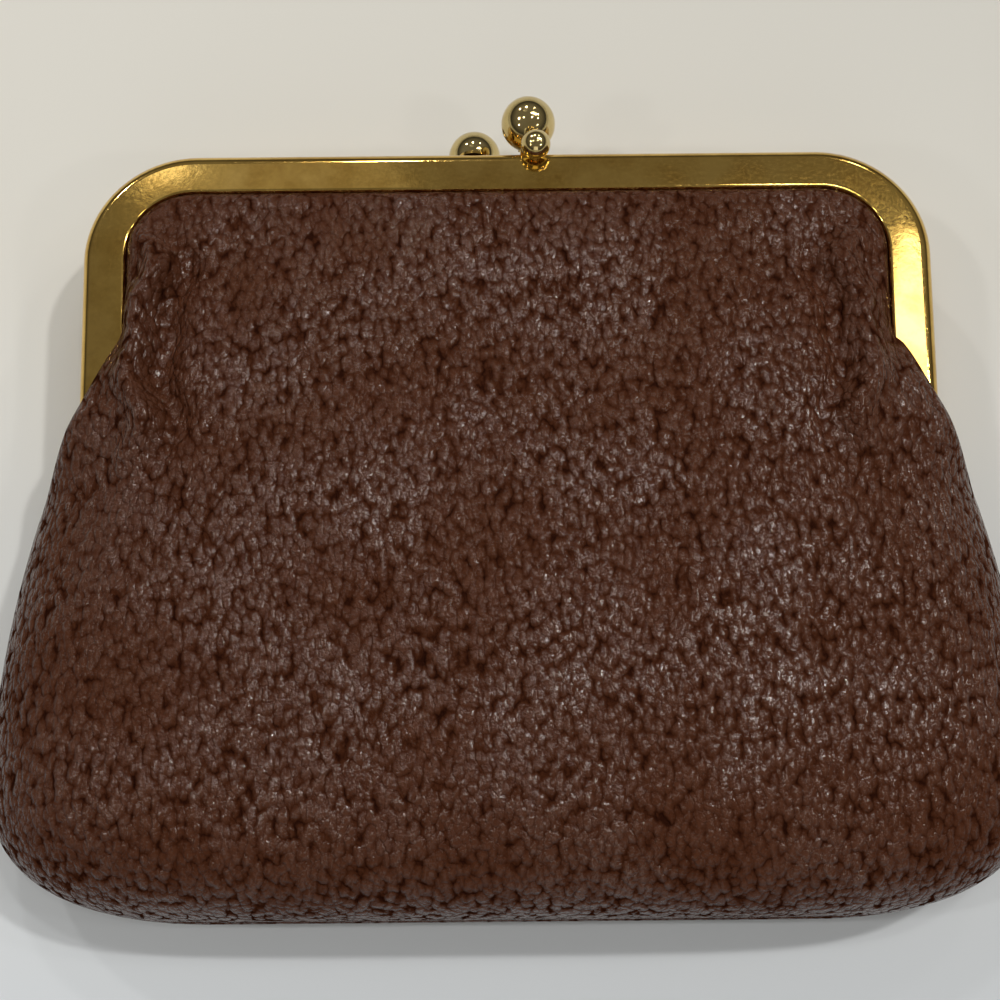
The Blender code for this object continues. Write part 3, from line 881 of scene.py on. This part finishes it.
@dataclass(frozen=True)
class PouchShape:
    """The lying pouch as height over the closing plane: pillow below, puffed and gathered at the frame above."""

    sizes: FrameSizes
    half_width: float = 48.5 * MM
    corner_across: float = 22.0 * MM
    corner_up: float = 14.0 * MM
    corner_power: float = 2.5
    taper: float = 5.45 * MM
    taper_top: float = 47.5 * MM
    taper_power: float = 2.02
    crown: float = 9.1 * MM
    brow: float = 6.6 * MM
    crown_up: float = 24.0 * MM
    pillow_power: int = 4
    swell: tuple[tuple[float, float], ...] = ((0.65, 0.35 * MM), (0.35, 6.0 * MM))
    swell_rise: Span = (50.0 * MM, 60.0 * MM)
    overhang_up: float = 57.3 * MM
    overhang_sink: float = 2.0 * MM
    overhang_slope: float = 0.54
    overhang_start: float = 2.3 * MM
    overhang_blend: float = 1.2 * MM
    overhang_gap: float = 0.15 * MM
    climb_rise: Span = (38.0 * MM, 47.0 * MM)
    sink_up: float = 52.0 * MM
    tuck: float = 1.6 * MM
    seam: float = 0.25 * MM
    left_gather: Gather = Gather(32.6 * MM, 1.3 * MM, 1.7 * MM)
    right_gather: Gather = Gather(31.0 * MM, 0.9 * MM, 1.2 * MM)
    gather_rise: Span = (38.0 * MM, 48.0 * MM)
    gather_fade: Span = (61.0 * MM, 68.0 * MM)
    wander: tuple[tuple[float, float, float], ...] = ((0.8 * MM, 2.6 * MM, 0.0), (0.5 * MM, 1.3 * MM, 1.0))
    crease_width: float = 1.5 * MM
    lobe_side: float = 3.1 * MM
    lobe_width: float = 1.6 * MM
    pleat: float = 0.45 * MM
    pleat_side: float = 5.2 * MM
    pleat_width: float = 1.8 * MM
    pleat_rise: Span = (50.0 * MM, 58.0 * MM)
    slow_wave: float = 0.4 * MM
    quick_wave: float = 0.16 * MM
    wave_side: float = 8.0 * MM
    wave_rise: Span = (2.0 * MM, 12.0 * MM)
    wave_fade: Span = (4.0 * MM, 12.0 * MM)
    rear_spare: float = 0.5 * MM
    rear_gather: float = 0.5

    def round_rise(self, up: float) -> float:
        """Returns 0 at the bottom seam and 1 above the rounded bottom corner."""
        share = min(1.0, max(0.0, 1 - up / self.corner_up))
        return max(0.0, 1 - share ** self.corner_power) ** (1 / self.corner_power)

    def flank(self, up: float, drawn: float = 0.0) -> float:
        """Finds the half-width of the seam.

        Args:
            up: height over the bottom seam.
            drawn: how far the line is drawn in from the seam.

        Returns:
            The half-width.
        """
        fall = max(0.0, up - self.corner_up) / (self.taper_top - self.corner_up)
        bottom = self.corner_across * (1 - self.round_rise(up - drawn))
        return self.half_width - drawn - bottom - self.taper * fall ** self.taper_power

    def edge_x(self, up: float) -> float:
        """Finds the half-width of the leather's edge: the seam, then over the legs, then in the channel.

        Args:
            up: height over the bottom seam.

        Returns:
            The half-width.
        """
        s = self.sizes
        if up > s.corner_up:
            radius = s.corner - s.face + self.tuck
            rise = min(radius, up - s.corner_up)
            return s.half_width - s.corner + math.sqrt(max(0.0, radius ** 2 - rise ** 2))
        lip = s.leg_x(max(up, s.leg_end)) - s.face
        if up > self.overhang_up:
            return lip + self.tuck * ease(up, self.overhang_up, self.overhang_up + self.overhang_sink)
        drop = self.overhang_up - up
        over = lip + self.overhang_slope * drop * drop / (drop + self.overhang_start)
        low = self.flank(up)
        soft = self.overhang_blend
        meet = max(0.0, soft - abs(over - low)) / soft
        return min(over, low) - meet * meet * soft / 4

    def edge_out(self, up: float) -> float:
        """Finds the height of the leather's edge: the seam, then on the frame's face, then in the channel.

        Args:
            up: height over the bottom seam.

        Returns:
            The height over the closing plane.
        """
        over = self.sizes.face_out + self.overhang_gap
        climb = ease(up, *self.climb_rise)
        sink = ease(up, self.sink_up, self.overhang_up + MM)
        return self.seam + (over - self.seam) * climb + (self.sizes.leather_out - over) * sink

    def body(self, x: float, up: float, crown: float) -> float:
        """Finds the height of the puffed panel.

        Args:
            x: distance from the middle.
            up: height over the bottom seam.
            crown: height of the fullest part.

        Returns:
            The height over the closing plane.
        """
        s = self.sizes
        share = min(1.0, abs(x) / self.edge_x(up))
        full = crown - (crown - self.brow) * ease(up, self.crown_up, s.top)
        edge = self.edge_out(up)
        pillow = math.sqrt(max(0.0, 1 - share ** self.pillow_power))
        low = edge + (full - edge) * self.round_rise(up) * pillow
        inside = max(0.0, s.lip_distance(x, up))
        rise = sum(part * (1 - math.exp(-inside / reach)) for part, reach in self.swell)
        high = s.leather_out + (full - s.leather_out) * rise
        return low + (high - low) * ease(up, *self.swell_rise)

    def gathers(self, x: float, up: float) -> float:
        """Finds the relief of the gathers that run down from the frame's corners.

        Args:
            x: distance from the middle.
            up: height over the bottom seam.

        Returns:
            What the gathers add to the height.
        """
        gather = self.left_gather if x < 0 else self.right_gather
        valley = gather.crease_x + sum(size * math.sin(up / run + start) for size, run, start in self.wander)
        reach = ease(up, *self.gather_rise) * (1 - ease(up, *self.gather_fade))
        crease = -gather.depth * hump(abs(x), valley, self.crease_width)
        lobe = gather.lobe * hump(abs(x), valley + self.lobe_side, self.lobe_width)
        pleat = -self.pleat * hump(abs(x), gather.crease_x - self.pleat_side, self.pleat_width)
        return (crease + lobe + pleat * ease(up, *self.pleat_rise)) * reach

    def waves(self, x: float, up: float) -> float:
        """Finds the slow unevenness of soft leather, none at the edges.

        Args:
            x: distance from the middle.
            up: height over the bottom seam.

        Returns:
            What the waves add to the height.
        """
        slow = math.sin(x / (9.0 * MM) + 0.7) * math.sin(up / (11.0 * MM) + 0.4)
        quick = math.sin(x / (4.1 * MM) + up / (7.0 * MM)) * math.sin(up / (5.3 * MM) - x / (13.0 * MM))
        inside = ease(self.edge_x(up) - abs(x), 0.0, self.wave_side) * ease(up, *self.wave_rise)
        return (self.slow_wave * slow + self.quick_wave * quick) * inside * ease(self.sizes.top - up, *self.wave_fade)

    def front(self, x: float, up: float) -> float:
        """Returns the front leather's height over the closing plane."""
        return self.body(x, up, self.crown) + self.gathers(x, up) + self.waves(x, up)

    def rear(self, x: float, up: float) -> float:
        """Returns the rear leather's height over the closing plane, flat where it lies on the table."""
        bulge = self.body(x, up, MID_HEIGHT + self.rear_spare)
        return -min(MID_HEIGHT, bulge + self.gathers(x, up) * self.rear_gather)

    @property
    def top(self) -> float:
        """Height of the leather's top edge in the channel."""
        return self.sizes.top - self.sizes.face + self.tuck


@dataclass
class Pouch:
    """The leather panels, the welt in their seam and the lining."""

    shape: PouchShape
    leather: Material
    lining: Material
    leather_thickness: float = 1.0 * MM
    lining_thickness: float = 0.4 * MM
    lining_depth: float = 1.7 * MM
    lining_gap: float = 0.45 * MM
    lining_inset: float = 2.0 * MM
    lining_short: float = 0.3 * MM
    lining_neck: float = 36.6 * MM
    neck_rise: Span = (32.0 * MM, 38.0 * MM)
    channel_rise: Span = (56.0 * MM, 61.0 * MM)
    lining_close: float = 0.4 * MM
    close_rise: Span = (56.0 * MM, 64.0 * MM)
    lining_slack: float = 1.15
    rim_area: float = 0.12 * MM * MM
    bend_rise: Span = (33.0 * MM, 55.0 * MM)
    welt_radius: float = 0.5 * MM
    welt_top: float = 38.5 * MM
    welt_inset: float = 0.55 * MM
    welt_lift: float = 0.35 * MM
    welt_steps: int = 90
    front_grid: tuple[int, int] = (200, 150)
    rear_grid: tuple[int, int] = (150, 110)
    lining_grid: tuple[int, int] = (90, 80)
    row_crowding: float = 0.16
    column_evenness: float = 0.62

    def panel(self, name: str, edge: Callable[[float], float], height: Callable[[float, float], float],
              reach: Span, thickness: float, side: Side, grid: tuple[int, int]) -> Object:
        """Bends a grid to an outline and a height and gives it thickness toward the pouch's inside.

        Args:
            name: the object's name.
            edge: half-width at a height over the seam.
            height: height over the closing plane at x and up.
            reach: lowest and highest row.
            thickness: the sheet's thickness.
            side: which way its outside faces.
            grid: columns and rows.

        Returns:
            The panel.
        """
        low, high = reach
        clear_selection()
        bpy.ops.mesh.primitive_grid_add(x_subdivisions=grid[0], y_subdivisions=grid[1], size=2.0)
        obj = bpy.context.object
        obj.name = name
        obj.data.name = name
        for vertex in obj.data.vertices:
            # Rows crowd toward the bottom seam and columns toward the sides, where the panel turns most.
            share = (vertex.co.y + 1) / 2
            up = low + (high - low) * (share - self.row_crowding * math.sin(math.pi * share) * (1 - share) ** 2)
            crowded = math.sin(vertex.co.x * math.pi / 2)
            x = edge(up) * (self.column_evenness * vertex.co.x + (1 - self.column_evenness) * crowded)
            vertex.co = place(x, up, height(x, up))
        if side is Side.REAR:
            edit(obj)
            bpy.ops.mesh.flip_normals()
        apply_modifier(obj, "SOLIDIFY", thickness=thickness, offset=-1.0, use_even_offset=False)
        bpy.ops.object.shade_smooth()
        return obj

    def lining_edge(self, up: float) -> float:
        """Finds the half-width of the lining, drawn in from the seam and clear of the hinge.

        Args:
            up: height over the bottom seam.

        Returns:
            The half-width.
        """
        low = self.shape.flank(up, self.lining_inset)
        narrow = low + (min(low, self.lining_neck) - low) * ease(up, *self.neck_rise)
        return narrow + (self.shape.edge_x(up) - narrow) * ease(up, *self.channel_rise)

    def lining_deep(self, up: float) -> float:
        """Returns how far the lining lies under the leather's outside."""
        return self.lining_depth - self.lining_close * ease(up, *self.close_rise)

    def lining_front(self, x: float, up: float) -> float:
        """Returns the front lining's height over the closing plane."""
        return max(self.lining_gap, self.shape.front(x, up) - self.lining_deep(up))

    def lining_rear(self, x: float, up: float) -> float:
        """Returns the rear lining's height over the closing plane."""
        return min(-self.lining_gap, self.shape.rear(x, up) + self.lining_deep(up))

    def welt(self) -> Object:
        """Rolls the welt that shows as a thin line in the side and bottom seam."""
        obj = new_curve("seam_welt_roll")
        obj.data.splines.clear()
        spline = obj.data.splines.new("POLY")
        side = []
        for step in range(self.welt_steps + 1):
            up = self.welt_top * (1 - math.sin(step / self.welt_steps * math.pi / 2))
            side.append((self.shape.edge_x(up) - self.welt_inset, up + self.welt_lift))
        route = side + [(-x, up) for x, up in reversed(side)]
        spline.points.add(len(route) - 1)
        for point, (x, up) in zip(spline.points, route):
            point.co = (*place(x, up, 0.0), 1.0)
        return round_bar(obj, self.welt_radius, 3)

    def build(self) -> None:
        """Builds and dresses the leather and the lining; the front ones take the place of the CAD panels and flaps."""
        shape = self.shape
        whole = (0.0, shape.top)
        inner = (self.lining_inset, shape.top - self.lining_short)
        front = self.panel("front_leather", shape.edge_x, shape.front, whole,
                           self.leather_thickness, Side.FRONT, self.front_grid)
        rear = self.panel("rear_leather", shape.edge_x, shape.rear, whole,
                          self.leather_thickness, Side.REAR, self.rear_grid)
        inner_front = self.panel("front_lining_cloth", self.lining_edge, self.lining_front, inner,
                                 self.lining_thickness, Side.FRONT, self.lining_grid)
        inner_rear = self.panel("rear_lining_cloth", self.lining_edge, self.lining_rear, inner,
                                self.lining_thickness, Side.REAR, self.lining_grid)
        for obj in (front, rear):
            dress(obj, self.leather)
        for obj in (inner_front, inner_rear):
            dress(obj, self.lining)
        for obj, nodes in ((front, ("front_panel", "front_panel_flap")),
                           (inner_front, ("front_lining", "front_lining_flap"))):
            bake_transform(obj)
            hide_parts(*nodes)
            LOG.info("%s bends across the hinge", obj.name)
        for obj, held in ((inner_front, front), (inner_rear, rear)):
            flat = (2 * shape.half_width, shape.top * self.lining_slack)
        settle(rear, Body.REAR, "rear_panel")
        settle(inner_rear, Body.REAR, "rear_lining")
        welt = dress(self.welt(), self.leather)
        settle(welt, Body.REAR, "seam_welt")


@dataclass(frozen=True)
class Lamp:
    """A square soft lamp that faces the purse: place and side in metres, power in watts."""

    name: str
    x: float
    y: float
    power: float
    size: float
    z: float = 0.75
    colour: str = "FFFCF6"

    def hang(self) -> None:
        """Hangs the lamp."""
        data = bpy.data.lights.new(self.name, "AREA")
        data.energy = self.power
        data.size = self.size
        data.color = linear(self.colour)[:3]
        lamp = bpy.data.objects.new(self.name, data)
        bpy.context.scene.collection.objects.link(lamp)
        lamp.location = (self.x, self.y, self.z)
        lamp.rotation_euler = (-Vector((self.x, self.y, self.z))).to_track_quat("-Z", "Y").to_euler()


LAMPS = (
    Lamp("ceiling_key", 0.43, 0.25, 2.05, 0.04),
    Lamp("ceiling_second", 0.18, 0.26, 0.42, 0.04),
    Lamp("ceiling_third", 0.64, 0.3, 0.42, 0.04),
    Lamp("ceiling_panel", 0.29, 0.28, 0.3, 0.15),
    Lamp("ceiling_corner", -0.25, 0.46, 0.008, 0.04),
    Lamp("ceiling_wash", -0.16, 0.43, 0.02, 0.18),
    Lamp("ceiling_far_0", -0.55, 0.75, 1.3, 0.05),
    Lamp("ceiling_far_1", -0.1, 0.75, 0.75, 0.05),
    Lamp("ceiling_far_2", 0.4, 0.75, 0.28, 0.05),
    Lamp("ceiling_middle_0", -0.6, 0.02, 0.9, 0.05),
    Lamp("ceiling_middle_1", -0.25, 0.02, 0.28, 0.05),
    Lamp("ceiling_middle_2", 0.2, 0.02, 0.28, 0.05),
    Lamp("ceiling_middle_3", 0.62, 0.02, 0.28, 0.05),
    Lamp("ceiling_near_0", -0.75, -0.45, 0.62, 0.05),
    Lamp("ceiling_near_1", 0.7, -0.45, 0.62, 0.05),
    Lamp("window", 0.0, -1.0, 1.0, 0.6, z=0.55),
)


@dataclass
class Studio:
    """Table, room, lamps and camera."""

    lens_pixels: float = 1300.0
    image: float = 1000.0
    sensor: float = 36.0
    tilt: float = math.radians(15.0)
    roll: float = math.radians(-0.55)
    height: float = 130.6 * MM
    foot_up: float = 6.3 * MM
    foot_x: float = -0.95 * MM
    backdrop: str = "B3B0A8"
    wall: str = "302F2C"
    ceiling: str = "73706A"
    backdrop_top: float = 0.12
    wall_rise: float = 0.22
    ceiling_rise: float = 0.6
    table_size: float = 2.4
    clip_start: float = 5.0 * MM

    def table(self) -> None:
        """Lays the table top."""
        clear_selection()
        bpy.ops.mesh.primitive_plane_add(size=self.table_size, location=(0.0, 0.0, 0.0))
        floor = bpy.context.object
        floor.name = "table_top"
        floor.data.materials.append(TableTop().build())

    def light(self) -> None:
        """Sets the room, pale at the horizon, dark on the walls and grey overhead, and hangs the lamps."""
        world = bpy.data.worlds.new("room")
        world.use_nodes = True
        tree = world.node_tree
        way = add_node(tree, "ShaderNodeTexCoord").outputs["Generated"]
        rise = add_node(tree, "ShaderNodeSeparateXYZ", {0: way}).outputs["Z"]
        walls = [(0.0, self.backdrop), (self.backdrop_top, self.backdrop),
                 (self.wall_rise, self.wall), (self.ceiling_rise, self.ceiling)]
        room = add_node(tree, "ShaderNodeValToRGB", {"Fac": rise}, walls)
        tree.links.new(room.outputs["Color"], tree.nodes["Background"].inputs["Color"])
        bpy.context.scene.world = world
        for lamp in LAMPS:
            lamp.hang()

    def camera(self) -> None:
        """Stands the camera where the photograph was taken."""
        data = bpy.data.cameras.new("camera")
        data.sensor_width = self.sensor
        data.lens = self.sensor * self.lens_pixels / self.image
        data.clip_start = self.clip_start
        camera = bpy.data.objects.new("camera", data)
        bpy.context.scene.collection.objects.link(camera)
        camera.location = (self.foot_x, self.foot_up - ORIGIN_UP, self.height)
        camera.rotation_mode = "XYZ"
        turn = Matrix.Rotation(self.tilt, 4, "X") @ Matrix.Rotation(self.roll, 4, "Z")
        camera.rotation_euler = turn.to_euler()
        bpy.context.scene.camera = camera

    def build(self) -> None:
        """Builds the studio and sets the plain view transform."""
        self.table()
        self.light()
        self.camera()
        bpy.context.scene.view_settings.view_transform = "Standard"


def dress_cords() -> None:
    """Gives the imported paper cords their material."""
    paper = PaperCord().build()
    for node in ("rear_frame_cord", "front_frame_cord"):
        cord = frame["nodes"][node]
        cord.data.materials.clear()
        cord.data.materials.append(paper)
        LOG.info("%s keeps its CAD shape", node)


def main() -> None:
    """Builds every piece and the studio."""
    logging.basicConfig(level=logging.INFO)
    sizes = FrameSizes()
    brass = PolishedBrass().build()
    Studio().build()
    inner_ear = sizes.ear_inset + sizes.ear_thickness + sizes.ear_gap
    FrameHalf(sizes, Side.REAR, brass).build(Body.REAR, inner_ear)
    FrameHalf(sizes, Side.FRONT, brass).build(Body.FRONT, sizes.ear_inset)
    Hinge(sizes, brass).build()
    Clasp(sizes, brass, PolishedBrass("pale_gilt_brass", "DDC890", "BFA96C").build()).build()
    Pouch(PouchShape(sizes), GrainedLeather().build(), WovenLining().build()).build()
    dress_cords()
    clear_selection()


if __name__ == "__main__":
    main()
